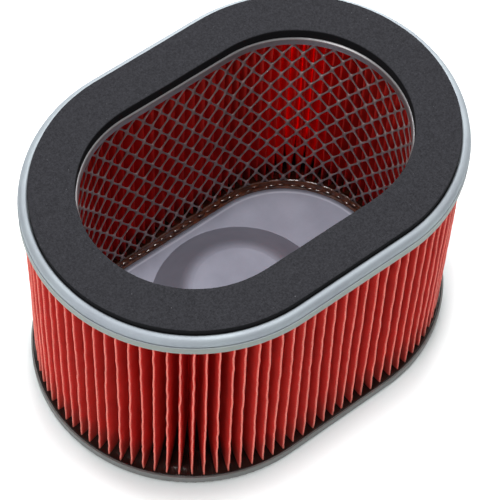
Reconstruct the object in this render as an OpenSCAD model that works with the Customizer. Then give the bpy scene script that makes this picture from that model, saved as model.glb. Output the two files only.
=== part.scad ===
// Oval air filter element: a ring of pleated paper around an expanded-metal screen,
// bedded in sealant between two pressed steel end caps, with a foam gasket on the upper one.
// The long axis lies along X, the element stands on Z = 0 and its outlet looks up +Z.
// Every radius is measured from the axis of a rounded end, or from the X axis on a straight side.

/* [Overall] */
// Radius of the rounded ends over the end caps
end_r = 55; // [54:1:60]
// Half the length of the straight sides
half_straight = 21; // [15:1:30]
// Height over the two end caps, without the gasket
metal_h = 92; // [70:1:120]
// Thickness of the end caps' sheet steel
sheet_t = 0.6; // [0.4:0.1:0.7]

/* [Top end cap] */
// Height of the cap from the rim to the lower edge of the skirt
top_cap_h = 6.1; // [5.5:0.1:8]
// Width of the raised rim
rim_w = 3.2; // [3.2:0.1:5]
// Depth of the flat plate below the rim
recess_d = 1.6; // [1.2:0.1:2.2]
// Radius of the rim's outer shoulder
shoulder_r = 2; // [1.5:0.1:2.1]
// Height of the skirt that stands out below the shoulder
skirt_h = 3; // [2.5:0.1:3.2]
// Distance that the skirt stands out
skirt_step = 0.3; // [0.2:0.05:0.3]
// Depth of the collar that turns down inside the screen
collar_h = 3.2; // [2.8:0.1:7]

/* [Bottom end cap] */
// Height of the pan's outer wall
pan_wall_h = 4; // [3.8:0.1:6]
// Height of the raised middle panel
panel_h = 5.2; // [5:0.1:7]
// Radius of the panel's shoulder
panel_shoulder_r = 2.2; // [1.5:0.1:2.5]
// Radius of the boss where it leaves the panel
boss_base_r = 31; // [24:0.5:31]
// Radius of the boss at its flat top
boss_top_r = 19; // [12:0.5:20]
// Height of the boss above the panel
boss_h = 8.9; // [5:0.1:12]
// Radius that blends the slope of the boss into its top
boss_blend_r = 8; // [3:0.5:9]

/* [Foam gasket] */
// Thickness of the foam
foam_t = 4; // [3:0.1:8]
// Thickness of the glue film under the foam
film_t = 0.2; // [0.1:0.05:0.4]

/* [Pleated paper] */
// Number of pleats along each straight side
pleats_per_side = 10; // [8:1:12]
// Number of pleats around each rounded end
pleats_per_end = 41; // [36:1:42]
// Depth of the pleats
pleat_depth = 15.4; // [12:0.1:16.5]
// Thickness of the paper
paper_t = 0.5; // [0.4:0.05:0.6]
// Half the width of a fold, which is thicker than one layer of paper
fold_half_w = 0.65; // [0.55:0.05:0.7]

/* [Screen] */
// Thickness of the expanded-metal screen
screen_t = 0.8; // [0.6:0.1:1]

/* [Sealant] */
// Depth of the top sealant, under the plate
top_seal_t = 2.6; // [2.2:0.1:3.8]
// Level of the bottom sealant at the pan's outer wall
seal_outer_z = 3.6; // [2.8:0.1:3.8]
// Level of the bottom sealant at the panel's shoulder
seal_inner_z = 4.6; // [4.2:0.1:4.8]
// Level that the bottom sealant climbs to on the screen
seal_screen_z = 7; // [5:0.1:9]
// Thickness of sealant between the paper's edge and the steel
bed_t = 1; // [0.6:0.1:1.2]

/* [Hidden] */
$fn = 96;

// Radii, from the outside in
wall_r = end_r - sheet_t;
tip_r = end_r - 1.5;
root_r = tip_r - pleat_depth;
screen_out_r = root_r - 0.4;
screen_in_r = screen_out_r - screen_t;
collar_out_r = screen_in_r - 0.2;
collar_in_r = collar_out_r - sheet_t;
collar_bend_r = 1.2;
riser_r = screen_in_r - 1;
seal_lip_r = screen_in_r - 1.7;
rim_in_r = end_r - rim_w;
rim_bend_r = 0.7;
neck_r = end_r - skirt_step;
foam_out_r = rim_in_r - 0.2;
foam_in_r = collar_in_r + 0.6;
film_in_r = collar_in_r + collar_bend_r + 0.2;

// Heights
plate_z = metal_h - recess_d;
skirt_z = metal_h - top_cap_h;
collar_z = plate_z - collar_h;
top_seal_z = plate_z - sheet_t - top_seal_t;
pack_z = sheet_t + bed_t;
pack_h = plate_z - sheet_t - bed_t - pack_z;
panel_under_z = panel_h - sheet_t;

// Small details of the sheet metal
groove = 0.3;
neck_lap = 0.6;
pan_bend_r = 1;

// Pleats
pleat_count = 2 * (pleats_per_side + pleats_per_end);
side_pitch = 2 * half_straight / pleats_per_side;
end_step = 180 / pleats_per_end;
slot_half_w = 0.15;

// Seam clip
clip_t = 0.3;
clip_depth = 4;
clip_gap = 1.5;
clip_pleat = pleats_per_side + pleats_per_end + floor(pleats_per_side / 2) + 0.5;

// Axis position along X and direction of the outward normal, counted in pleats along the oval
function oval_place(u) =
    let (v = u % pleat_count, half = pleat_count / 2, w = v % half, turn = v < half ? 1 : -1)
    w < pleats_per_side
        ? [turn * (w * side_pitch - half_straight), -90 * turn]
        : [turn * half_straight, -90 * turn + (w - pleats_per_side) * end_step];

// A point at radius r in the place u, moved sideways along the oval
function oval_point(u, r, across) =
    let (p = oval_place(u))
    [p[0] + r * cos(p[1]) - across * sin(p[1]), r * sin(p[1]) + across * cos(p[1])];

// One face of the folded paper: a blunt fold at each tip and at each root
function fold_line(tip, tip_w, root, root_w) = [
    for (i = [0 : pleat_count - 1], end = [0, 1], side = [-1, 1])
        end == 0 ? oval_point(i + 0.5, tip, side * tip_w) : oval_point(i + 1, root, side * root_w)
];

// Sweeps a section, drawn as radius against height, around the whole oval
module around_oval() {
    for (side = [-1, 1])
        translate([side * half_straight, 0, 0])
            rotate([0, 0, side * 90 - 180])
                rotate_extrude(angle = 180) children();
    for (side = [0, 1])
        mirror([0, side, 0])
            rotate([90, 0, 90])
                linear_extrude(2 * half_straight, center = true) children();
}

// Section of a strip of sheet or foam between two radii and two heights
module strip(r1, r2, z1, z2) {
    translate([r1, z1]) square([r2 - r1, z2 - z1]);
}

// Section of a sheet bent through a right angle, with its centre at r, z
module bend(r, z, outer_r, turn) {
    translate([r, z]) rotate(turn) intersection() {
        difference() {
            circle(outer_r);
            circle(outer_r - sheet_t);
        }
        square(outer_r);
    }
}

module top_cap_section() {
    difference() {
        union() {
            strip(collar_in_r, collar_out_r, collar_z, plate_z - collar_bend_r);
            bend(collar_in_r + collar_bend_r, plate_z - collar_bend_r, collar_bend_r, 90);
            strip(collar_in_r + collar_bend_r, rim_in_r + sheet_t, plate_z - sheet_t, plate_z);
            strip(rim_in_r, rim_in_r + sheet_t, plate_z - sheet_t, metal_h - rim_bend_r);
            bend(rim_in_r + rim_bend_r, metal_h - rim_bend_r, rim_bend_r, 90);
            strip(rim_in_r + rim_bend_r, neck_r - shoulder_r, metal_h - sheet_t, metal_h);
            bend(neck_r - shoulder_r, metal_h - shoulder_r, shoulder_r, 0);
            strip(neck_r - sheet_t, neck_r, skirt_z + skirt_h - neck_lap, metal_h - shoulder_r);
            strip(wall_r, end_r, skirt_z, skirt_z + skirt_h);
        }
        strip(neck_r - groove, end_r, skirt_z + skirt_h, skirt_z + skirt_h + groove);
    }
}

module pan_section() {
    strip(wall_r, end_r, pan_bend_r, pan_wall_h);
    bend(end_r - pan_bend_r, pan_bend_r, pan_bend_r, -90);
    strip(riser_r - sheet_t, end_r - pan_bend_r, 0, sheet_t);
    strip(riser_r - sheet_t, riser_r, 0, panel_h - panel_shoulder_r);
    bend(riser_r - panel_shoulder_r, panel_h - panel_shoulder_r, panel_shoulder_r, 0);
    strip(0, riser_r - panel_shoulder_r, panel_under_z, panel_h);
}

// Section of the boss, from the panel's lower face to its top
module boss_section() {
    slope = atan(boss_h / (boss_base_r - boss_top_r));
    reach = boss_blend_r * tan(slope / 2);
    top_z = panel_h + boss_h;
    blend_end = [boss_top_r + reach * cos(slope), top_z - reach * sin(slope)];
    polygon([[0, panel_under_z], [boss_base_r, panel_under_z], [boss_base_r, panel_h],
             blend_end, [boss_top_r - reach, top_z], [0, top_z]]);
    intersection() {
        translate([boss_top_r - reach, top_z - boss_blend_r]) circle(boss_blend_r);
        strip(0, boss_base_r, panel_h, top_z);
    }
}

module folded_paper() {
    translate([0, 0, pack_z]) linear_extrude(pack_h) difference() {
        polygon(fold_line(tip_r, fold_half_w, root_r + paper_t, slot_half_w));
        polygon(fold_line(tip_r - paper_t, slot_half_w, root_r, fold_half_w));
    }
}

module screen_tube() {
    around_oval() strip(screen_in_r, screen_out_r, pack_z, pack_z + pack_h);
}

module top_end_cap() {
    color([0.72, 0.75, 0.78]) around_oval() top_cap_section();
}

module bottom_end_cap() {
    color([0.6, 0.62, 0.65]) difference() {
        union() {
            around_oval() pan_section();
            rotate_extrude() boss_section();
        }
        translate([0, 0, -sheet_t]) rotate_extrude() boss_section();
    }
}

module pleated_paper() {
    color([0.7, 0.15, 0.12]) folded_paper();
}

// Strip crimped over the fold where the two ends of the paper meet
module paper_seam_clip() {
    lean = clip_depth / pleat_depth * (side_pitch / 2 - fold_half_w - slot_half_w);
    leg_w = fold_half_w + lean;
    section = [[-leg_w, -clip_depth], [-fold_half_w, 0], [fold_half_w, 0], [leg_w, -clip_depth],
               [leg_w + clip_t, -clip_depth], [fold_half_w + clip_t, clip_t],
               [-fold_half_w - clip_t, clip_t], [-leg_w - clip_t, -clip_depth]];
    low_z = seal_outer_z + clip_gap;
    color([0.75, 0.75, 0.72]) translate([0, 0, low_z])
        linear_extrude(top_seal_z - clip_gap - low_z)
            polygon([for (p = section) oval_point(clip_pleat, tip_r + p[1], p[0])]);
}

module inner_screen() {
    color([0.45, 0.45, 0.47]) screen_tube();
}

module top_sealant() {
    color([0.25, 0.12, 0.08]) difference() {
        around_oval() difference() {
            strip(collar_out_r, neck_r - sheet_t, top_seal_z, plate_z - sheet_t);
            top_cap_section();
        }
        folded_paper();
        screen_tube();
    }
}

module bottom_sealant() {
    color([0.25, 0.12, 0.08]) difference() {
        around_oval() difference() {
            polygon([[riser_r - panel_shoulder_r, sheet_t], [wall_r, sheet_t],
                     [wall_r, seal_outer_z], [root_r, seal_screen_z],
                     [screen_in_r, seal_screen_z], [seal_lip_r, seal_inner_z],
                     [riser_r - panel_shoulder_r, seal_inner_z]]);
            pan_section();
            strip(0, riser_r - sheet_t / 2, 0, panel_h - panel_shoulder_r);
            strip(0, riser_r - panel_shoulder_r, 0, panel_h);
            translate([riser_r - panel_shoulder_r, panel_h - panel_shoulder_r])
                circle(panel_shoulder_r - sheet_t / 2);
        }
        folded_paper();
        screen_tube();
    }
}

module gasket_glue_film() {
    color([0.15, 0.15, 0.15])
        around_oval() strip(film_in_r, foam_out_r - 0.5, plate_z, plate_z + film_t);
}

module foam_gasket() {
    color([0.25, 0.25, 0.26])
        around_oval() strip(foam_in_r, foam_out_r, plate_z + film_t, plate_z + film_t + foam_t);
}

top_end_cap();
bottom_end_cap();
pleated_paper();
paper_seam_clip();
inner_screen();
top_sealant();
bottom_sealant();
gasket_glue_film();
foam_gasket();
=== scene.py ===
# %% [markdown]
# # An oval air filter element
# The real object is one strip of red paper, folded a hundred times and closed into an oval ring.
# A tube of expanded metal carries it from inside. Both stand in dark sealant between two pressed
# steel caps, and a foam ring on the upper cap seals the element against the air box.
# This lesson loads the engineering model as a fixed frame and makes every visible skin around it:
# steel stays as it was designed and gets a finish, and the soft or repeating pieces are made anew.

# %% Load the engineering model
import math

import bmesh
import bpy
import numpy as np
from mathutils import Matrix, Vector, noise


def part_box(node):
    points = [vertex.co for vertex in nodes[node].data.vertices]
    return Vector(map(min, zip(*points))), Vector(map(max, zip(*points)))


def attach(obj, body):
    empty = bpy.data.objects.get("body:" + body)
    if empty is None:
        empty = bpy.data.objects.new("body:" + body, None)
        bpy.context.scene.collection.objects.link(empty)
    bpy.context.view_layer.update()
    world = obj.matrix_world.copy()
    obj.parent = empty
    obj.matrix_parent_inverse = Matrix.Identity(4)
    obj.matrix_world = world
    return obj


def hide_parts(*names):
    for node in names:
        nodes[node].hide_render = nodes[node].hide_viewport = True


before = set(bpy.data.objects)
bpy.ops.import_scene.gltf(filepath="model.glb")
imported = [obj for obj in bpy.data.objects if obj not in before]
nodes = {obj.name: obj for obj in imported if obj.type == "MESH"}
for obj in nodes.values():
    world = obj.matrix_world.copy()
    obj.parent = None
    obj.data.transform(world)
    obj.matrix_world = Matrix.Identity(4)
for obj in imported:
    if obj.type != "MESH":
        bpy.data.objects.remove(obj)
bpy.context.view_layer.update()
print("frame nodes:", sorted(nodes))

# %% [markdown]
# ## Sizes
# Every size is read from the boxes of the engineering parts, so that nothing here has to be fitted
# afterwards. What a box can't tell is given as a number: the thickness of the screen, the width of
# the foam and the counts of pleats repeat the engineering model's own values, and finishing sizes,
# such as the width of a strand, are named where they are used. Blender works in metres, so MM turns
# millimetres into metres.

# %% Read the sizes
MM = 0.001
paper_low, paper_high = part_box("pleated_paper")
screen_low, screen_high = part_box("inner_screen")
foam_low, foam_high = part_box("foam_gasket")
lower_seal_low, lower_seal_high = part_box("bottom_sealant")
upper_seal_low, upper_seal_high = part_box("top_sealant")

half_straight = screen_high.x - screen_high.y
tip_r = paper_high.y
root_r = screen_high.y + 0.4 * MM
screen_t = 0.8 * MM
screen_r = screen_high.y - screen_t / 2
screen_in_r = -screen_low.y - screen_t
foam_w = 14.9 * MM
PLEATS_PER_SIDE = 10
PLEATS_PER_END = 41
print("half straight", half_straight, "pleat tips at", tip_r, "roots at", root_r)

# %% [markdown]
# ## Camera
# The camera stands high on the near left of the element and looks down into the outlet. A long lens
# keeps the oval nearly free of perspective, so that its near and far ends look alike. The camera is
# placed by its bearing, its height angle, a slight roll and its distance from the point it aims at.

# %% Place the camera
LENS_MM = 159.3
SENSOR_MM = 36
CAMERA_DISTANCE = 0.6945
BEARING = -0.7145
HEIGHT_ANGLE = 0.9996
ROLL = 0.0577
AIM_RIGHT = 2.5 * MM
AIM_DOWN = 28.9 * MM
back = Vector((math.sin(BEARING) * math.cos(HEIGHT_ANGLE),
               -math.cos(BEARING) * math.cos(HEIGHT_ANGLE),
               math.sin(HEIGHT_ANGLE)))
right = Vector((math.cos(BEARING), math.sin(BEARING), 0))
up = back.cross(right)
rim_centre = Vector((0, 0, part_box("top_end_cap")[1].z))
aim = rim_centre + right * AIM_RIGHT - up * AIM_DOWN
turn = Matrix((right, up, back)).transposed() @ Matrix.Rotation(ROLL, 3, "Z")

camera = bpy.data.objects.new("camera", bpy.data.cameras.new("camera"))
camera.data.lens = LENS_MM
camera.data.sensor_width = SENSOR_MM
camera.data.clip_start = 0.01
camera.matrix_world = Matrix.LocRotScale(aim + back * CAMERA_DISTANCE, turn, None)
bpy.context.collection.objects.link(camera)
bpy.context.scene.camera = camera
print("camera at", [round(part, 3) for part in camera.location])

# %% [markdown]
# ## Light
# The object stands in a bright tent: a pale floor, an even white sky and soft lamps. Metal shows
# whatever surrounds it, so every lamp is wider than the element. One lamp behind the element puts
# light through the paper, which is why the folds inside the screen glow. Two weak lamps only draw
# the bright edges at both ends of the collar.

# %% Build the light tent
LAMP_AIM = Vector((0, 0, 0.045))
SKY_STRENGTH = 0.47


def lamp(name, place, size, power):
    """A square area lamp at place, turned towards the middle of the element."""
    data = bpy.data.lights.new(name, "AREA")
    data.energy = power
    data.size = size
    made = bpy.data.objects.new(name, data)
    turned = (Vector(place) - LAMP_AIM).to_track_quat("Z", "Y")
    made.matrix_world = Matrix.LocRotScale(Vector(place), turned, None)
    bpy.context.collection.objects.link(made)


lamp("overhead_tent", (0.0, 0.02, 0.95), size=0.2, power=9.6)
lamp("back_tent", (0.56, 0.64, 0.4), size=0.5, power=7)
lamp("left_tent", (-0.82, -0.24, 0.4), size=0.5, power=3.4)
lamp("right_edge", (0.64, 0.0, 0.53), size=0.2, power=0.8)
lamp("back_edge", (-0.06, 0.62, 0.53), size=0.2, power=0.8)

world = bpy.data.worlds.new("tent")
bpy.context.scene.world = world
world.use_nodes = True
sky = world.node_tree.nodes["Background"].inputs
sky["Color"].default_value = (1, 1, 1, 1)
sky["Strength"].default_value = SKY_STRENGTH
bpy.context.scene.view_settings.view_transform = "Standard"
print("lamps:", [lamp_data.name for lamp_data in bpy.data.lights])

# %% [markdown]
# ## Node helpers
# Materials and Geometry Nodes are both trees of nodes. `add` makes one node and feeds its inputs with
# numbers or with other nodes' outputs, and `calc` makes one step of arithmetic. `blend` mixes two
# colours, `spread` stretches a range, and `split` and `join` take a vector apart and make one. With
# these the cells below read almost like formulas.

# %% Helpers for node trees
def feed(tree, socket, value):
    """Links value into socket if it is a socket itself, and sets it otherwise."""
    if isinstance(value, bpy.types.NodeSocket):
        tree.links.new(value, socket)
    else:
        socket.default_value = value


def add(tree, kind, fed=None, **settings):
    """A new node with its settings made and its inputs fed."""
    node = tree.nodes.new(kind)
    for name, value in settings.items():
        setattr(node, name, value)
    for key, value in (fed or {}).items():
        feed(tree, node.inputs[key], value)
    return node


def calc(tree, operation, *values):
    """The result of one Math node."""
    fed = dict(enumerate(values))
    return add(tree, "ShaderNodeMath", fed, operation=operation).outputs[0]


def blend(tree, share, low, high):
    """A colour between low and high."""
    node = add(tree, "ShaderNodeMix", data_type="RGBA")
    feed(tree, node.inputs["Factor"], share)
    feed(tree, node.inputs[6], low)
    feed(tree, node.inputs[7], high)
    return node.outputs[2]


def spread(tree, value, low, high, new_low=0.0, new_high=1.0):
    """value carried from one range to another, and held inside it."""
    fed = {"Value": value, "From Min": low, "From Max": high, "To Min": new_low, "To Max": new_high}
    return add(tree, "ShaderNodeMapRange", fed).outputs["Result"]


def split(tree, vector):
    """The X, Y and Z outputs of a vector."""
    return add(tree, "ShaderNodeSeparateXYZ", {0: vector}).outputs


def join(tree, x=0.0, y=0.0, z=0.0):
    """A vector of three numbers."""
    return add(tree, "ShaderNodeCombineXYZ", {0: x, 1: y, 2: z}).outputs[0]


print("node helpers are ready")

# %% [markdown]
# ## Materials
# Each finish starts from one Principled shader. Colour, roughness and relief come from noise on
# Object coordinates, which are metres on the real piece, so that a grain of 0.3 mm is 0.3 mm.
# Painted textures would need each piece to be unwrapped, and these finishes have no picture on them.

# %% Helpers for materials
def new_finish(name, **values):
    """A material, its tree, its Principled node and its Object coordinates."""
    made = bpy.data.materials.new(name)
    made.use_nodes = True
    tree = made.node_tree
    shader = tree.nodes["Principled BSDF"]
    for key, value in values.items():
        shader.inputs[key.replace("_", " ")].default_value = value
    place = add(tree, "ShaderNodeTexCoord").outputs["Object"]
    return made, tree, shader, place


def grain(tree, place, size, detail=3.0, roughness=0.5):
    """Noise from 0 to 1 whose lumps are about size metres across."""
    fed = {"Vector": place, "Scale": 1 / size, "Detail": detail, "Roughness": roughness}
    return add(tree, "ShaderNodeTexNoise", fed).outputs["Fac"]


def relief(tree, shader, height, depth, under=None):
    """Raises the shader's surface by height times depth metres, on top of another relief."""
    node = add(tree, "ShaderNodeBump", {"Height": height, "Strength": 1.0, "Distance": depth})
    if under is not None:
        tree.links.new(under, node.inputs["Normal"])
    feed(tree, shader.inputs["Normal"], node.outputs["Normal"])
    return node.outputs["Normal"]


def oval_radius(tree, place):
    """Distance of each point from the oval's straight axis, seen from above."""
    x, y, _ = split(tree, place)
    held = calc(tree, "MAXIMUM", calc(tree, "MINIMUM", x, half_straight), -half_straight)
    flat = join(tree, calc(tree, "SUBTRACT", x, held), y)
    return add(tree, "ShaderNodeVectorMath", {0: flat}, operation="LENGTH").outputs["Value"]


print("finish helpers are ready")

# %% [markdown]
# ### Zinc-plated sheet steel
# Zinc plating is a thin bluish coat. It isn't a mirror: the sheet carries faint cloudy patches and
# fine specks. Coarse noise moves its colour, roughness and relief a little, and fine noise adds the
# specks. Three places differ. The foot of each pressing is painted darker and duller: partly dried
# compound, partly painted shade on the low walls that face sideways. The collar was drawn down by a
# tool that polished it, so it is smoother and more metallic. The edge of the raised panel is creased,
# and a thin pale line along it is a painted highlight. Height and the distance from the oval's axis
# pick these places, because they run evenly all the way round.

# %% Zinc finish
COLLAR_COLOUR = (0.38, 0.375, 0.385, 1)
COLLAR_METALLIC = 0.95
CREASE_HIGHLIGHT = (0.75, 0.76, 0.84, 1)


def zinc_finish(name, colour, cloud_colour, rough, metallic, smear_and_shade, smear_and_shade_top, drawn=None, crease=None):
    """smear darkens below smear_and_shade_top (compound, painted shade), drawn polishes the collar, crease
    paints a highlight line.
    """
    made, tree, shader, place = new_finish(name, Metallic=metallic)
    clouds = grain(tree, place, 14 * MM, 4.0)
    specks = grain(tree, place, 0.5 * MM, 2.0)
    plated = blend(tree, spread(tree, clouds, 0.35, 0.65), colour, cloud_colour)
    # Below smear_and_shade_top the colour is painted darker: dried compound and painted shade.
    wavy = calc(tree, "MULTIPLY_ADD", clouds, 0.4 * MM, split(tree, place)[2])
    above = spread(tree, wavy, smear_and_shade_top, smear_and_shade_top + 0.3 * MM)
    plated = blend(tree, above, smear_and_shade, plated)
    uneven = calc(tree, "MULTIPLY_ADD", clouds, 0.16, rough - 0.08)
    if drawn:
        collar = spread(tree, oval_radius(tree, place), drawn, drawn + 0.3 * MM, 1.0, 0.0)
        plated = blend(tree, collar, plated, COLLAR_COLOUR)
        uneven = calc(tree, "MULTIPLY_ADD", collar, -0.22, uneven)
        polished = calc(tree, "MULTIPLY_ADD", collar, COLLAR_METALLIC - metallic, metallic)
        feed(tree, shader.inputs["Metallic"], polished)
    if crease:
        # Painted highlight: a thin pale line is painted along the panel's creased edge.
        away = calc(tree, "ABSOLUTE", calc(tree, "SUBTRACT", oval_radius(tree, place), crease))
        line = spread(tree, away, 0.12 * MM, 0.5 * MM, 0.18, 0.0)
        plated = blend(tree, line, plated, CREASE_HIGHLIGHT)
    feed(tree, shader.inputs["Base Color"], plated)
    feed(tree, shader.inputs["Roughness"], calc(tree, "MULTIPLY_ADD", specks, 0.1, uneven))
    waves = relief(tree, shader, clouds, 0.06 * MM)
    relief(tree, shader, specks, 0.012 * MM, waves)
    return made


# Below this height the cap's skirt is painted darker: dried compound and painted shade on the sideways wall.
skirt_smear_and_shade_z = rim_centre.z - 3.1 * MM
panel_edge_r = screen_in_r - 3.7 * MM
zinc = zinc_finish("zinc_steel", colour=(0.3, 0.335, 0.36, 1), cloud_colour=(0.265, 0.29, 0.32, 1),
                   rough=0.6, metallic=0.7, smear_and_shade=(0.23, 0.25, 0.235, 1), smear_and_shade_top=skirt_smear_and_shade_z,
                   drawn=screen_in_r)
# The base's whole outer wall, below 4.3 mm, is painted darker as painted shade, with dried compound at its
# foot.
zinc_base = zinc_finish("zinc_steel_base", colour=(0.225, 0.23, 0.28, 1),
                        cloud_colour=(0.195, 0.198, 0.245, 1), rough=0.55, metallic=0.65,
                        smear_and_shade=(0.2, 0.205, 0.2, 1), smear_and_shade_top=4.3 * MM, crease=panel_edge_r)
clip_steel = zinc_finish("clip_steel", colour=(0.5, 0.5, 0.48, 1), cloud_colour=(0.42, 0.42, 0.4, 1),
                         rough=0.35, metallic=1.0, smear_and_shade=(0.2, 0.2, 0.19, 1), smear_and_shade_top=8 * MM)
print("steel finishes:", zinc.name, zinc_base.name, clip_steel.name)

# %% [markdown]
# ### Red filter paper
# The paper is soaked in red resin and cured. It is matt, and light comes through it. On the folds
# the resin cracks, so the edge of every fold is paler. The geometry hands the material one number
# for that, an attribute named fold, which runs from 0 at the roots to 1 at the tips. A second one,
# valley, tells how deep in its gap a point lies, because the paper is painted dark low down in the
# gaps, higher where a gap is deeper, as painted shade, and lets less light through there.
# Light from behind is a Translucent shader, mixed with the Principled one.

# %% Paper finish
RED = (0.49, 0.021, 0.018, 1)
RED_BLOTCH = (0.59, 0.035, 0.025, 1)
RED_FIBRE = (0.62, 0.1, 0.07, 1)
CRACKED_RESIN = (0.95, 0.4, 0.32, 1)
PAINTED_GAP_SHADE = (0.02, 0.006, 0.006, 1)
GLOW = (1.0, 0.022, 0.03, 1)
SEE_THROUGH = 0.52


def paper_finish():
    made, tree, shader, place = new_finish("red_paper", Roughness=0.62, Specular_IOR_Level=0.35)
    fold = add(tree, "ShaderNodeAttribute", attribute_name="fold").outputs["Fac"]
    valley = add(tree, "ShaderNodeAttribute", attribute_name="valley").outputs["Fac"]
    fibres = grain(tree, place, 0.45 * MM, 5.0, 0.65)
    blotches = grain(tree, place, 9 * MM, 3.0)
    red = blend(tree, spread(tree, blotches, 0.3, 0.7), RED, RED_BLOTCH)
    mottled = blend(tree, spread(tree, fibres, 0.35, 0.7, 0.0, 0.5), red, RED_FIBRE)
    crack = calc(tree, "ADD", fold, calc(tree, "MULTIPLY", calc(tree, "SUBTRACT", fibres, 0.5), 0.09))
    colour = blend(tree, spread(tree, crack, 0.965, 0.995, 0.0, 0.9), mottled, CRACKED_RESIN)
    # Painted shade: the paper is painted dark low down in the gaps between the folds, higher where a gap is
    # deeper, and lets less light through there.
    shade_reach = calc(tree, "MULTIPLY_ADD", valley, 14 * MM, 1 * MM)
    shade_top = calc(tree, "MULTIPLY_ADD", blotches, 4 * MM, shade_reach)
    over = calc(tree, "SUBTRACT", split(tree, place)[2], shade_top)
    gap_shade = spread(tree, over, -4 * MM, 1 * MM, 0.92, 0.0)
    feed(tree, shader.inputs["Base Color"], blend(tree, gap_shade, colour, PAINTED_GAP_SHADE))
    relief(tree, shader, fibres, 0.16 * MM)
    through = add(tree, "ShaderNodeBsdfTranslucent", {"Color": GLOW})
    clear = calc(tree, "MULTIPLY_ADD", gap_shade, -SEE_THROUGH, SEE_THROUGH)
    both = add(tree, "ShaderNodeMixShader", {0: clear, 1: shader.outputs[0], 2: through.outputs[0]})
    tree.links.new(both.outputs[0], tree.nodes["Material Output"].inputs["Surface"])
    return made


red_paper = paper_finish()
print("paper finish:", red_paper.name, "with", len(red_paper.node_tree.nodes), "nodes")

# %% [markdown]
# ### Dull screen steel
# The screen is bare steel that has dulled to a warm grey. Patches of noise move its colour and its
# roughness together, so that some strands glitter and their neighbours don't.

# %% Screen finish
SCREEN_DARK = (0.25, 0.19, 0.19, 1)
SCREEN_LIGHT = (0.35, 0.275, 0.275, 1)


def screen_finish():
    made, tree, shader, place = new_finish("screen_steel", Metallic=0.55)
    dull = grain(tree, place, 2.5 * MM, 4.0)
    colour = blend(tree, spread(tree, dull, 0.35, 0.65), SCREEN_DARK, SCREEN_LIGHT)
    feed(tree, shader.inputs["Base Color"], colour)
    feed(tree, shader.inputs["Roughness"], spread(tree, dull, 0.3, 0.7, 0.42, 0.6))
    relief(tree, shader, grain(tree, place, 0.4 * MM), 0.03 * MM)
    return made


screen_steel = screen_finish()
print("screen finish:", screen_steel.name)

# %% [markdown]
# ### Cured sealant
# The sealant is a thick brown compound that cured with a glossy skin, so it gets a low roughness and
# soft lumps. It is painted darker outside the screen, as painted shade down between the folds.

# %% Sealant finish
SEALANT_DARK = (0.03, 0.01, 0.006, 1)
SEALANT_LIGHT = (0.085, 0.026, 0.013, 1)
SEALANT_GAP_SHADE = (0.02, 0.011, 0.009, 1)


def sealant_finish():
    made, tree, shader, place = new_finish("brown_sealant", Roughness=0.16)
    lumps = grain(tree, place, 3 * MM, 3.0)
    colour = blend(tree, spread(tree, lumps, 0.35, 0.7), SEALANT_DARK, SEALANT_LIGHT)
    # Painted shade: the sealant is painted darker outside the screen, down between the folds.
    between_folds = spread(tree, oval_radius(tree, place), 40 * MM, 46 * MM)
    feed(tree, shader.inputs["Base Color"], blend(tree, between_folds, colour, SEALANT_GAP_SHADE))
    relief(tree, shader, lumps, 0.15 * MM)
    return made


brown_sealant = sealant_finish()
print("sealant finish:", brown_sealant.name)

# %% [markdown]
# ### Charcoal foam
# The foam is charcoal and quite matt, with open cells of a few tenths of a millimetre. Modelling the
# cells would cost millions of faces, so Voronoi cells sink into its skin instead, and a few pale grains
# are painted on as painted glints. The walls are painted darker than the top: partly because light
# gets lost in their cut cells, partly as painted shade on the walls that face sideways.

# %% Foam finish
FOAM_CELL = 0.36 * MM
FOAM_LOW = (0.01, 0.0101, 0.012, 1)
FOAM_HIGH = (0.026, 0.0262, 0.0305, 1)
FOAM_GRAIN_GLINT = (0.12, 0.12, 0.13, 1)
FOAM_WALL_SHADE = (0.005, 0.005, 0.006, 1)


def foam_finish():
    made, tree, shader, place = new_finish("black_foam", Roughness=0.95, Specular_IOR_Level=0.12)
    cells = add(tree, "ShaderNodeTexVoronoi", {"Vector": place, "Scale": 1 / FOAM_CELL})
    tint = grain(tree, place, 0.6 * MM, 4.0, 0.75)
    # Painted glints: a few grains are painted pale.
    glint_spots = spread(tree, grain(tree, place, 0.8 * MM, 2.0), 0.74, 0.8)
    grey = blend(tree, spread(tree, tint, 0.34, 0.66), FOAM_LOW, FOAM_HIGH)
    grey_with_glints = blend(tree, glint_spots, grey, FOAM_GRAIN_GLINT)
    # The walls are painted darker than the top: cut cells, and painted shade on the sideways walls.
    upward = split(tree, add(tree, "ShaderNodeNewGeometry").outputs["Normal"])[2]
    facing_up = spread(tree, upward, 0.35, 0.95)
    feed(tree, shader.inputs["Base Color"], blend(tree, facing_up, FOAM_WALL_SHADE, grey_with_glints))
    pores = relief(tree, shader, cells.outputs["Distance"], 0.06 * MM)
    relief(tree, shader, tint, 0.08 * MM, pores)
    return made


black_foam = foam_finish()
print("foam finish:", black_foam.name)

# %% [markdown]
# ### Adhesive film
# A thin black film of adhesive holds the foam on the plate. Hardly any of it shows, so faint streaks
# of noise are enough.

# %% Glue finish
GLUE_DARK = (0.012, 0.012, 0.012, 1)
GLUE_STREAK = (0.04, 0.035, 0.03, 1)


def glue_finish():
    made, tree, shader, place = new_finish("glue", Roughness=0.3)
    streaks = grain(tree, place, 4 * MM)
    feed(tree, shader.inputs["Base Color"], blend(tree, streaks, GLUE_DARK, GLUE_STREAK))
    relief(tree, shader, streaks, 0.05 * MM)
    return made


glue = glue_finish()
print("finishes:", [finish.name for finish in bpy.data.materials])

# %% [markdown]
# ## Steel caps, seam clip and glue
# These shapes are right as they were designed, so the engineering meshes stay and only their
# material slots are filled. Making them anew would only copy what is exact already.

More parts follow.
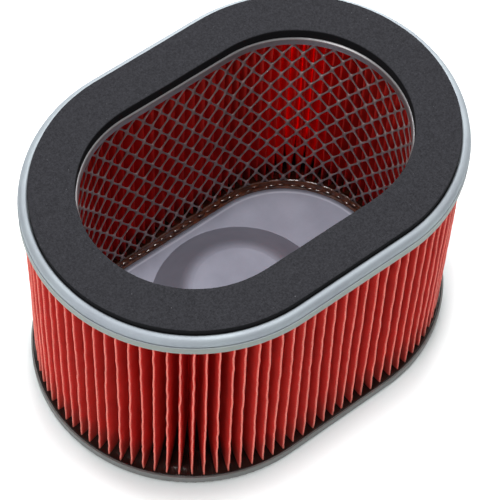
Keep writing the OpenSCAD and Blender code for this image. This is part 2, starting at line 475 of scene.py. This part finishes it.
# %% Finish the pieces that stay
kept_finishes = {"top_end_cap": zinc, "bottom_end_cap": zinc_base,
                 "paper_seam_clip": clip_steel, "gasket_glue_film": glue}
for node_name, finish in kept_finishes.items():
    for slot in nodes[node_name].material_slots:
        slot.material = finish
    print(node_name, "gets", finish.name)

# %% [markdown]
# ## Rolling a flat strip round the oval
# The factory folds the paper and slits the screen while they are flat, and only then bends them
# round. The same order is the easy one here. A flat strip uses X to count repeats along the oval,
# Y for its radius and Z for its height. One small node group turns those into a place: half of the
# oval is a straight run and then a half turn, and the other half is the same, turned by 180 degrees.
# Clamping the count to each part gives both without any branches.

# %% Node group that rolls a strip
def roll_group():
    """Geometry Nodes group: rolls a flat strip round the oval."""
    tree = bpy.data.node_groups.new("roll_round_the_oval", "GeometryNodeTree")
    face = tree.interface
    face.new_socket("Geometry", in_out="INPUT", socket_type="NodeSocketGeometry")
    for label in ("Per Side", "Per End", "Half Straight"):
        face.new_socket(label, in_out="INPUT", socket_type="NodeSocketFloat")
    face.new_socket("Geometry", in_out="OUTPUT", socket_type="NodeSocketGeometry")
    given = add(tree, "NodeGroupInput").outputs
    side, end, half_run = given["Per Side"], given["Per End"], given["Half Straight"]
    count, radius, height = split(tree, add(tree, "GeometryNodeInputPosition").outputs[0])
    half = calc(tree, "ADD", side, end)
    lap = calc(tree, "FLOORED_MODULO", count, calc(tree, "MULTIPLY", half, 2.0))
    far = calc(tree, "FLOOR", calc(tree, "DIVIDE", lap, half))
    sign = calc(tree, "MULTIPLY_ADD", far, -2.0, 1.0)
    here = calc(tree, "SUBTRACT", lap, calc(tree, "MULTIPLY", far, half))
    run = calc(tree, "DIVIDE", calc(tree, "MINIMUM", here, side), side)
    axis_x = calc(tree, "MULTIPLY", half_run, calc(tree, "MULTIPLY_ADD", run, 2.0, -1.0))
    swing = calc(tree, "DIVIDE", calc(tree, "MAXIMUM", calc(tree, "SUBTRACT", here, side), 0.0), end)
    angle = calc(tree, "MULTIPLY_ADD", swing, math.pi, -math.pi / 2)
    x = calc(tree, "MULTIPLY_ADD", radius, calc(tree, "COSINE", angle), axis_x)
    y = calc(tree, "MULTIPLY", radius, calc(tree, "SINE", angle))
    rolled = join(tree, calc(tree, "MULTIPLY", x, sign), calc(tree, "MULTIPLY", y, sign), height)
    fed = {"Geometry": given["Geometry"], "Position": rolled}
    add(tree, "NodeGroupOutput", {0: add(tree, "GeometryNodeSetPosition", fed).outputs[0]})
    return tree


rolling = roll_group()
print("the rolling group has", len(rolling.nodes), "nodes")

# %% [markdown]
# ## Growing a piece from its unit
# The paper, the screen and the beads are made the same way: one small unit is copied along a flat
# strip and the strip is rolled. So each has a tree with named inputs for its sizes, and the steps
# they share are helpers. `grow` runs a tree on the unit and keeps the result as a plain mesh,
# because copies that only exist inside a modifier are lost when the model is exported.

# %% Helpers that grow a piece
def new_tree(name, sizes):
    """A tree with one named number input for each size. Returns it and its group inputs."""
    tree = bpy.data.node_groups.new(name, "GeometryNodeTree")
    tree.interface.new_socket("Geometry", in_out="INPUT", socket_type="NodeSocketGeometry")
    for label in sizes:
        tree.interface.new_socket(label, in_out="INPUT", socket_type="NodeSocketFloat")
    tree.interface.new_socket("Geometry", in_out="OUTPUT", socket_type="NodeSocketGeometry")
    return tree, add(tree, "NodeGroupInput").outputs


def whole(tree, value):
    """The nearest whole number, for inputs that count."""
    return add(tree, "FunctionNodeFloatToInt", {0: value}, rounding_mode="ROUND").outputs[0]


def copy_out(tree, points, unit, **more):
    """Real copies of unit, one on each point."""
    fed = {"Points": points, "Instance": unit, **more}
    copies = add(tree, "GeometryNodeInstanceOnPoints", fed).outputs[0]
    return add(tree, "GeometryNodeRealizeInstances", {"Geometry": copies}).outputs[0]


def roll_up(tree, strip, given, gap=None):
    """The strip, rolled round the oval. Points closer than gap are merged."""
    fed = {0: strip, 1: given["Per Side"], 2: given["Per End"], 3: given["Half Straight"]}
    ring = add(tree, "GeometryNodeGroup", fed, node_tree=rolling).outputs[0]
    if gap is None:
        return ring
    return add(tree, "GeometryNodeMergeByDistance", {"Geometry": ring, "Distance": gap}).outputs[0]


def close_tree(tree, geometry, finish):
    """Ends a tree in Realize Instances and Set Material."""
    solid = add(tree, "GeometryNodeRealizeInstances", {"Geometry": geometry}).outputs[0]
    smooth = add(tree, "GeometryNodeSetShadeSmooth", {"Geometry": solid}).outputs[0]
    painted = add(tree, "GeometryNodeSetMaterial", {"Geometry": smooth, "Material": finish}).outputs[0]
    add(tree, "NodeGroupOutput", {0: painted})


def grow(name, seed_mesh, tree, sizes):
    """Runs a tree on a small starting mesh and keeps the result as a plain mesh object."""
    start = bpy.data.objects.new(name + "_start", seed_mesh)
    bpy.context.collection.objects.link(start)
    modifier = start.modifiers.new("grow", "NODES")
    modifier.node_group = tree
    for item in tree.interface.items_tree:
        if item.in_out == "INPUT" and item.name in sizes:
            modifier[item.identifier] = float(sizes[item.name])
    seen = start.evaluated_get(bpy.context.evaluated_depsgraph_get())
    plain = bpy.data.meshes.new_from_object(seen)
    bpy.data.objects.remove(start)
    made = bpy.data.objects.new(name, plain)
    plain.name = name
    bpy.context.collection.objects.link(made)
    print(name, len(plain.vertices), "vertices", len(plain.polygons), "faces")
    return made


print("growing helpers are ready")

# %% [markdown]
# ## The folded paper
# One pleat is enough to list point by point. Its section has two faces: the outer one is round and wide
# at the tip and closes to a crease at the root, and the inner one is the other way round. The wall
# between them is the paper, about a third of a millimetre thick. Rows up the height let the fold
# wander, because real folds are never quite straight.

# %% One pleat, flat
PLEAT_ROWS = 58
pleat_depth = tip_r - root_r
side_pitch = 2 * half_straight / PLEATS_PER_SIDE


def whole_pleat(half):
    """Half of a face, from root to tip, continued by its mirror image."""
    return half + [(side_pitch / MM - across, depth) for across, depth in reversed(half[:-1])]


def one_pleat():
    """A flat pleat: X is its share of the pitch, Y its radius and Z its height."""
    half = side_pitch / MM / 2
    deep = pleat_depth / MM
    outer = whole_pleat([(0, 0.5), (0.16, 1.0), (half - 0.42, deep - 1.0),
                         (half - 0.26, deep - 0.16), (half, deep)])
    inner = whole_pleat([(0, 0), (0.38, 0.2), (0.6, 1.0),
                         (half - 0.12, deep - 1.0), (half, deep - 0.4)])
    loop = len(outer)
    heights = np.linspace(paper_low.z, paper_high.z, PLEAT_ROWS)
    points = [(across * MM / side_pitch, root_r + depth * MM, z)
              for z in heights for face in (outer, inner) for across, depth in face]
    faces = []
    for row in range(PLEAT_ROWS - 1):
        for k in range(loop - 1):
            low, high = 2 * loop * row + k, 2 * loop * (row + 1) + k
            faces.append((low, low + 1, high + 1, high))
            faces.append((low + loop, high + loop, high + loop + 1, low + loop + 1))
    top = 2 * loop * (PLEAT_ROWS - 1)
    for k in range(loop - 1):
        faces.append((k, k + loop, k + loop + 1, k + 1))
        faces.append((top + k, top + k + 1, top + k + loop + 1, top + k + loop))
    made = bpy.data.meshes.new("one_pleat")
    made.from_pydata(points, [], faces)
    valley = [1 - depth / deep for _, depth in outer] + [depth / deep for _, depth in inner]
    made.attributes.new("valley", "FLOAT", "POINT").data.foreach_set("value", valley * PLEAT_ROWS)
    return made


pleat_mesh = one_pleat()
print("one pleat has", len(pleat_mesh.polygons), "faces")

# %% [markdown]
# The tree sets the pleat on a line of points, one per fold, and realises the copies. Noise that is
# read at the pleat's own number and at its height then pushes the tips sideways and outwards, by
# nothing at the root and most at the tip, so that neighbours stay joined. Ripple is a short wave
# along the fold, Lean tips the whole fold to one side and Bulge moves its edge in and out. Last, the
# strip is rolled round the oval and its open ends are merged. A stored attribute tells the material
# where on the fold each point lies.

# %% Fold the whole strip and roll it
PAPER_MERGE = 0.03 * MM


def folding_tree():
    """Copies the pleat along a line, bends every fold by chance and rolls the strip."""
    sizes = ("Per Side", "Per End", "Half Straight", "Root Radius", "Depth", "Pitch", "Ripple",
             "Ripple Length", "Lean", "Lean Length", "Bulge", "Bulge Length", "Seed")
    tree, given = new_tree("fold_the_paper", sizes)
    half = calc(tree, "ADD", given["Per Side"], given["Per End"])
    number = whole(tree, calc(tree, "MULTIPLY", half, 2.0))
    line = add(tree, "GeometryNodeMeshLine", {"Count": number, "Offset": (1, 0, 0)}).outputs[0]
    strip = copy_out(tree, line, given["Geometry"])
    count, radius, height = split(tree, add(tree, "GeometryNodeInputPosition").outputs[0])
    fold = calc(tree, "DIVIDE", calc(tree, "SUBTRACT", radius, given["Root Radius"]), given["Depth"])
    kept = add(tree, "GeometryNodeStoreNamedAttribute", {"Geometry": strip, "Name": "fold", "Value": fold},
               data_type="FLOAT", domain="POINT").outputs[0]
    loose = spread(tree, fold, 0.08, 1.0)
    pleat = calc(tree, "ADD", calc(tree, "FLOOR", count), given["Seed"])
    chance = add(tree, "ShaderNodeTexWhiteNoise", {"W": pleat}, noise_dimensions="1D").outputs["Value"]

    def wander(wave, step, offset):
        """Noise of about -1 to 1 along one fold, times the input wave, over its Length input."""
        spot = join(tree, calc(tree, "MULTIPLY", chance, step),
                    calc(tree, "DIVIDE", height, given[wave + " Length"]),
                    calc(tree, "ADD", given["Seed"], offset))
        fed = {"Vector": spot, "Scale": 1.0, "Detail": 3.0}
        fac = add(tree, "ShaderNodeTexNoise", fed).outputs["Fac"]
        return calc(tree, "MULTIPLY", calc(tree, "MULTIPLY_ADD", fac, 4.0, -2.0), given[wave])

    ripple = wander("Ripple", step=400.0, offset=0.0)
    lean = wander("Lean", step=300.0, offset=11.0)
    bulge = wander("Bulge", step=500.0, offset=23.0)
    swung = calc(tree, "MULTIPLY", calc(tree, "ADD", ripple, lean), loose)
    aside = calc(tree, "DIVIDE", swung, given["Pitch"])
    shift = join(tree, aside, calc(tree, "MULTIPLY", bulge, loose))
    bent = add(tree, "GeometryNodeSetPosition", {"Geometry": kept, "Offset": shift}).outputs[0]
    close_tree(tree, roll_up(tree, bent, given, PAPER_MERGE), red_paper)
    return tree


pleats = grow("pleated_paper_folds", pleat_mesh, folding_tree(), {
    "Per Side": PLEATS_PER_SIDE, "Per End": PLEATS_PER_END, "Half Straight": half_straight,
    "Root Radius": root_r, "Depth": pleat_depth, "Pitch": side_pitch,
    "Ripple": 0.27 * MM, "Ripple Length": 5 * MM, "Lean": 0.6 * MM, "Lean Length": 120 * MM,
    "Bulge": 0.2 * MM, "Bulge Length": 30 * MM, "Seed": 3})
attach(pleats, "root")
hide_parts("pleated_paper")

# %% [markdown]
# ## The expanded-metal screen
# A press slits the sheet in a brick pattern and pulls it open, so every opening is a diamond and
# the strands meet in short double bonds. The unit here is one bond with its four half strands. The
# arms end half way to the next bond, where the same cut face of the neighbour meets them, so the
# merged lattice is one continuous piece. The pull also tips each bond out of the sheet, upper side
# outwards and lower side inwards, which is what makes such a screen glitter.

# %% One bond of the screen, flat
SCREEN_COLUMNS = 47
SCREEN_PITCH_Z = 11 * MM
screen_around = 4 * half_straight + 2 * math.pi * screen_r
screen_pitch = screen_around / SCREEN_COLUMNS
STRAND_T = 0.36 * MM
STRAND_HALF_W = 0.25 * MM
BOND_TIP = 0.15 * MM


def one_bond():
    """A flat bond with four arms: X is its share of the pitch, Y the radius and Z the height."""
    quarter_x, quarter_z = screen_pitch / 4, SCREEN_PITCH_Z / 4
    across = Vector((quarter_z, -quarter_x)).normalized() * STRAND_HALF_W
    mid = Vector((quarter_x, quarter_z))
    inner = [Vector((0, 1.15)) * MM, Vector((0.2, 1.24)) * MM, Vector((0.52, 1.55)) * MM, mid - across]
    outer = [Vector((0.62, 0)) * MM, Vector((0.67, 0.46)) * MM, Vector((0.98, 1.08)) * MM, mid + across]
    rim = [Vector((0, 0))] + outer + inner[::-1]
    fan = [(0, 1, 2, 8), (2, 3, 7, 8), (3, 4, 5, 6), (3, 6, 7)]
    cut_edges = ((1, 2), (2, 3), (3, 4), (5, 6), (6, 7), (7, 8))
    points, faces = [], []
    for sx, sz in ((1, 1), (1, -1), (-1, 1), (-1, -1)):
        for side in (1, -1):
            base = len(points)
            for p in rim:
                tip = BOND_TIP * math.sin(math.pi * p.y / quarter_z) * sz
                points.append((sx * p.x / screen_pitch, side * STRAND_T / 2 + tip, sz * p.y))
            flip = sx * sz * side > 0
            faces += [tuple(base + i for i in (f if flip else f[::-1])) for f in fan]
        front, rear = base - len(rim), base
        for a, b in cut_edges:
            wall = (front + a, rear + a, rear + b, front + b)
            faces.append(wall if sx * sz > 0 else wall[::-1])
    made = bpy.data.meshes.new("one_bond")
    made.from_pydata(points, [], faces)
    return made


bond_mesh = one_bond()
print("one bond has", len(bond_mesh.polygons), "faces")

# %% [markdown]
# The tree lays the bonds out in staggered rows: from one counting number it works out the row and
# the column, and every second row moves by half a pitch. Then it rolls the sheet, as before. The
# arms of the first and last row end in open cuts, which are filled so that the steel is closed.

# %% Lay out the bonds and roll the sheet
SCREEN_ROWS = 15
SCREEN_MERGE = 0.02 * MM


def screen_tree():
    """Lays bonds out in staggered rows and rolls the sheet."""
    sizes = ("Columns", "Rows", "Row Height", "First Row", "Radius", "Per Side", "Per End", "Half Straight")
    tree, given = new_tree("roll_the_screen", sizes)
    number = whole(tree, calc(tree, "MULTIPLY", given["Columns"], given["Rows"]))
    index = add(tree, "GeometryNodeInputIndex").outputs[0]
    row = calc(tree, "FLOOR", calc(tree, "DIVIDE", calc(tree, "ADD", index, 0.5), given["Columns"]))
    column = calc(tree, "SUBTRACT", index, calc(tree, "MULTIPLY", row, given["Columns"]))
    stagger = calc(tree, "MULTIPLY", calc(tree, "FLOORED_MODULO", row, 2.0), 0.5)
    x = calc(tree, "ADD", column, stagger)
    z = calc(tree, "MULTIPLY_ADD", row, given["Row Height"], given["First Row"])
    spot = join(tree, x, given["Radius"], z)
    dots = add(tree, "GeometryNodePoints", {"Count": number, "Position": spot}).outputs[0]
    sheet = copy_out(tree, dots, given["Geometry"])
    close_tree(tree, roll_up(tree, sheet, given, SCREEN_MERGE), screen_steel)
    return tree


first_row = screen_high.z - (SCREEN_ROWS - 0.5) * SCREEN_PITCH_Z / 2
per_side = 2 * half_straight / screen_pitch
per_end = SCREEN_COLUMNS / 2 - per_side
screen = grow("expanded_metal_screen", bond_mesh, screen_tree(), {
    "Columns": SCREEN_COLUMNS, "Rows": SCREEN_ROWS, "Row Height": SCREEN_PITCH_Z / 2,
    "First Row": first_row, "Radius": screen_r, "Per Side": per_side, "Per End": per_end,
    "Half Straight": half_straight})
closing = bmesh.new()
closing.from_mesh(screen.data)
cuts = [edge for edge in closing.edges if edge.is_boundary]
bmesh.ops.holes_fill(closing, edges=cuts, sides=4)
closing.to_mesh(screen.data)
closing.free()
print("filled open cuts along", len(cuts), "edges")
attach(screen, "root")
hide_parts("inner_screen")

# %% [markdown]
# ## Sections carried round the oval
# The foam and both beds of sealant keep one section all the way round. A Curve to Mesh would do,
# but a short loop over stations gives even faces and lets each point be nudged by noise, so the
# foam looks cut and the sealant looks poured.

# %% Helper that carries a section round the oval
SIDE_STEPS = 40
END_STEPS = 150


def oval_stations(side_steps, end_steps):
    """(axis X, outward angle) of each station, anticlockwise from the start of the near side."""
    half = [(half_straight * (2 * k / side_steps - 1), -math.pi / 2) for k in range(side_steps)]
    half += [(half_straight, math.pi * (k / end_steps - 0.5)) for k in range(end_steps)]
    return half + [(-x, angle + math.pi) for x, angle in half]


def carry(name, section, finish, nudge, side_steps=SIDE_STEPS, end_steps=END_STEPS):
    """A closed section of (radius, height) points, carried round the oval. nudge moves each point."""
    stations = oval_stations(side_steps, end_steps)
    points = []
    for x, angle in stations:
        for r, z in section:
            place = Vector((x + r * math.cos(angle), r * math.sin(angle), z))
            points.append(nudge(place, r, z))
    count, total = len(section), len(stations)
    faces = []
    for s in range(total):
        for k in range(count):
            a, b = s * count, (s + 1) % total * count
            j = (k + 1) % count
            faces.append((a + k, b + k, b + j, a + j))
    mesh = bpy.data.meshes.new(name)
    mesh.from_pydata([tuple(p) for p in points], [], faces)
    mesh.shade_smooth()
    mesh.materials.append(finish)
    made = bpy.data.objects.new(name, mesh)
    bpy.context.collection.objects.link(made)
    print(name, len(mesh.polygons), "faces")
    return made


def arc(r, z, size, start, steps=5):
    """Points of a quarter circle from the angle start, anticlockwise, in degrees."""
    return [(r + size * math.cos(math.radians(start + 90 * k / steps)),
             z + size * math.sin(math.radians(start + 90 * k / steps))) for k in range(steps + 1)]


def between(a, b, steps):
    """Points strictly between two others."""
    return [(a[0] + (b[0] - a[0]) * k / steps, a[1] + (b[1] - a[1]) * k / steps) for k in range(1, steps)]


def lump(place, size, height):
    """Noise of up to about height at place, with lumps about size across."""
    return noise.noise(place / size) * height


print("the foam and the upper bed have", len(oval_stations(SIDE_STEPS, END_STEPS)), "stations")

# %% [markdown]
# ### The foam gasket
# The ring is cut from a sheet of foam with a knife die. Its edges are a little rounded where the
# cut cells give way, its top is nearly flat, and its walls wander by a tenth of a millimetre. It was
# laid on by hand, so it sits nearly half a millimetre off the middle. Only its outer foot stays
# put, because the rim of the plate holds it there. The height reads the noise at another patch
# than the walls do, so that the two don't wander together.

# %% Cut the foam gasket
FOAM_SOFT = 0.4 * MM
FOAM_FOOT = 0.4 * FOAM_SOFT
FOAM_SLIP = Vector((-0.3 * MM, -0.34 * MM, 0))
LIFT_PATCH = Vector((80 * MM, 80 * MM, 80 * MM))
TOP_STEPS, INNER_WALL_STEPS, FOOT_STEPS, OUTER_WALL_STEPS = 14, 5, 2, 5


def foam_gasket():
    low, high = foam_low.z, foam_high.z
    outside, inside = foam_high.y, foam_high.y - foam_w
    corners = [arc(outside - FOAM_SOFT, high - FOAM_SOFT, FOAM_SOFT, 0),
               arc(inside + FOAM_SOFT, high - FOAM_SOFT, FOAM_SOFT, 90),
               arc(inside + FOAM_FOOT, low + FOAM_FOOT, FOAM_FOOT, 180, 2),
               arc(outside - FOAM_FOOT, low + FOAM_FOOT, FOAM_FOOT, 270, 2)]
    runs = (TOP_STEPS, INNER_WALL_STEPS, FOOT_STEPS, OUTER_WALL_STEPS)
    section = []
    for this, following, steps in zip(corners, corners[1:] + corners[:1], runs):
        section += this + between(this[-1], following[0], steps)

    def nudge(place, r, z):
        share = (z - low) / (high - low)
        axis_x = max(-half_straight, min(half_straight, place.x))
        outward = Vector((place.x - axis_x, place.y, 0)).normalized()
        wander = lump(place, 11 * MM, 0.1 * MM) + lump(place, 2.2 * MM, 0.05 * MM)
        lift = lump(place + LIFT_PATCH, 16 * MM, 0.12 * MM) - 0.1 * MM
        slid = share if r > (inside + outside) / 2 else 1
        settled = FOAM_SLIP * slid + Vector((0, 0, min(lift, 0) * share))
        return place + outward * wander * (0.4 + 0.6 * share) + settled

    return carry("foam_ring", section, black_foam, nudge)


foam = foam_gasket()
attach(foam, "root")
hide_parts("foam_gasket")

# %% [markdown]
# ### The sealant beds
# The sealant is poured into the cap, the pleats are pressed into it and it cures. It creeps up
# everything that stands in it, so the surface is highest at the screen, slopes down to the pan's
# wall on one side and to a rounded lip on the other, and sets with soft lumps. Its section is a
# list of points from the wall inwards. It takes more stations than the foam, because its gloss
# would show every flat face.

# %% Pour the lower sealant
BED_GAP = 0.05 * MM
BED_SIDE_STEPS = 90
BED_END_STEPS = 330


def lower_sealant():
    floor = lower_seal_low.z + BED_GAP
    climb_z = lower_seal_high.z
    lip_z = climb_z - 2.4 * MM
    wall_z = climb_z - 3.4 * MM
    wall_r = lower_seal_high.y
    lip_r = screen_in_r - 1.7 * MM
    riser_r = screen_in_r - 0.9 * MM
    surface = [(wall_r - BED_GAP, wall_z + 0.1 * MM), (wall_r - 0.7 * MM, wall_z - 0.1 * MM)]
    surface += between((tip_r, wall_z), (root_r + 0.8 * MM, climb_z), 8)
    surface += [(root_r + 0.5 * MM, climb_z - 0.1 * MM), (screen_in_r + screen_t, climb_z)]
    surface += [(screen_in_r, climb_z - 0.1 * MM), (screen_in_r - 0.3 * MM, climb_z - 0.9 * MM),
                (screen_in_r - 0.7 * MM, climb_z - 1.6 * MM), (screen_in_r - 1.1 * MM, lip_z + 0.45 * MM)]
    surface += [(lip_r + 0.3 * MM, lip_z + 0.3 * MM), (lip_r + 0.08 * MM, lip_z + 0.18 * MM),
                (lip_r, lip_z - 0.05 * MM)]
    section = [(wall_r - BED_GAP, floor)] + surface + [(riser_r, 2.8 * MM), (riser_r, floor)]

    def nudge(place, r, z):
        if z < wall_z - 0.5 * MM or r > wall_r - 0.4 * MM:
            return place
        lumps = lump(place, 6 * MM, 0.3 * MM) + lump(place, 2.4 * MM, 0.08 * MM)
        return place + Vector((0, 0, lumps if r > lip_r + 0.5 * MM else lumps * 0.3))

    return carry("lower_sealant_bed", section, brown_sealant, nudge, BED_SIDE_STEPS, BED_END_STEPS)


lower_bed = lower_sealant()
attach(lower_bed, "root")
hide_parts("bottom_sealant")

# %% [markdown]
# ### The upper bed
# The upper cap was filled upside down, so this bed hangs under the plate. Only its lower face can
# ever be seen, between the folds, and that face alone gets lumps.

# %% Pour the upper sealant
def upper_sealant():
    inside = screen_in_r - 0.15 * MM
    outside = upper_seal_high.y - BED_GAP
    top_z = upper_seal_high.z - BED_GAP
    face_z = upper_seal_low.z + 0.2 * MM
    section = [(outside, top_z), (inside + 0.6 * MM, top_z), (inside, top_z - 0.85 * MM), (inside, face_z)]
    section += between((inside, face_z), (outside, face_z), 10) + [(outside, face_z)]

    def nudge(place, r, z):
        if z > face_z + 0.3 * MM:
            return place
        return place + Vector((0, 0, lump(place, 3.4 * MM, 0.2 * MM)))

    return carry("upper_sealant_bed", section, brown_sealant, nudge)


upper_bed = upper_sealant()
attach(upper_bed, "root")
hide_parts("top_sealant")

# %% [markdown]
# ### Beads at the strand feet
# Where each strand goes into the sealant, the compound was squeezed up and cured as a small glossy
# bead. Each bead is a flattened ball, half sunk in the slope of the bed. The tree spaces them by half
# of the screen's own pitch, because two strands come down in every pitch. It lets chance move and
# size them a little, and rolls them round. `chance` gives every bead its own number, and a new
# stream gives it another one.

# %% Set the beads
def bead_tree():
    """Spaces beads along the screen, sinks them in the slope and rolls the strip."""
    sizes = ("Count", "Spacing", "Wall Radius", "Climb Height", "Slope Width", "Slope Height",
             "Length", "Width", "Pitch", "Per Side", "Per End", "Half Straight", "Seed")
    tree, given = new_tree("set_the_beads", sizes)
    index = add(tree, "GeometryNodeInputIndex").outputs[0]

    def chance(stream, low, high):
        """A steady random number between low and high for each bead."""
        spot = calc(tree, "ADD", calc(tree, "ADD", index, given["Seed"]), stream)
        value = add(tree, "ShaderNodeTexWhiteNoise", {"W": spot}, noise_dimensions="1D").outputs["Value"]
        return calc(tree, "MULTIPLY_ADD", value, high - low, low)

    aside = chance(0.3, -0.12, 0.12)
    x = calc(tree, "ADD", calc(tree, "MULTIPLY", index, given["Spacing"]), aside)
    down = chance(50.3, 0.15, 0.6)
    radius = calc(tree, "SUBTRACT", given["Wall Radius"], calc(tree, "MULTIPLY", down, given["Slope Width"]))
    left = calc(tree, "POWER", calc(tree, "SUBTRACT", 1.0, down), 2.0)
    drop = calc(tree, "MULTIPLY", calc(tree, "SUBTRACT", 1.0, left), given["Slope Height"])
    spot = join(tree, x, radius, calc(tree, "SUBTRACT", given["Climb Height"], drop))
    fed = {"Count": whole(tree, given["Count"]), "Position": spot}
    dots = add(tree, "GeometryNodePoints", fed).outputs[0]
    swell = chance(90.3, 0.7, 1.2)
    long = calc(tree, "DIVIDE", calc(tree, "MULTIPLY", given["Length"], swell), given["Pitch"])
    wide = calc(tree, "MULTIPLY", given["Width"], swell)
    tall = calc(tree, "MULTIPLY", wide, chance(20.3, 0.35, 0.55))
    strip = copy_out(tree, dots, given["Geometry"], Scale=join(tree, long, wide, tall))
    close_tree(tree, roll_up(tree, strip, given), brown_sealant)
    return tree


bead_strip = bead_tree()
print("the bead tree has", len(bead_strip.nodes), "nodes")

# %% [markdown]
# Rolling mirrors a strip. The pleat and the bond were drawn with that in mind, and the ball starts
# with its faces turned inwards, so that the finished beads face outwards.

# %% Grow the beads
ball = bmesh.new()
bmesh.ops.create_icosphere(ball, subdivisions=2, radius=1.0)
bmesh.ops.reverse_faces(ball, faces=ball.faces)
ball_mesh = bpy.data.meshes.new("ball")
ball.to_mesh(ball_mesh)
ball.free()
beads = grow("lower_sealant_beads", ball_mesh, bead_strip, {
    "Count": 2 * SCREEN_COLUMNS, "Spacing": 0.5, "Wall Radius": screen_in_r,
    "Climb Height": lower_seal_high.z - 0.1 * MM, "Slope Width": 1.5 * MM, "Slope Height": 2.1 * MM,
    "Length": 1.7 * MM, "Width": 0.8 * MM, "Pitch": screen_pitch, "Per Side": per_side,
    "Per End": per_end, "Half Straight": half_straight, "Seed": 7})
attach(beads, "root")

# %% [markdown]
# ## The floor
# The floor is a plain pale sheet, much wider than the view. It lies a hair below the pan, so that
# the two never share a face, and it isn't part of the object.

# %% Lay the floor
FLOOR_REACH = 3.0
FLOOR_COLOUR = (0.9, 0.94, 0.945, 1)
corners = [(x * FLOOR_REACH, y * FLOOR_REACH, 0) for x, y in ((-1, -1), (1, -1), (1, 1), (-1, 1))]
floor_mesh = bpy.data.meshes.new("floor")
floor_mesh.from_pydata(corners, [], [(0, 1, 2, 3)])
floor_finish = new_finish("pale_floor", Roughness=0.9, Base_Color=FLOOR_COLOUR)[0]
floor_mesh.materials.append(floor_finish)
floor = bpy.data.objects.new("floor", floor_mesh)
floor.location.z = -0.1 * MM
bpy.context.collection.objects.link(floor)
print("the floor is", 2 * FLOOR_REACH, "m wide")
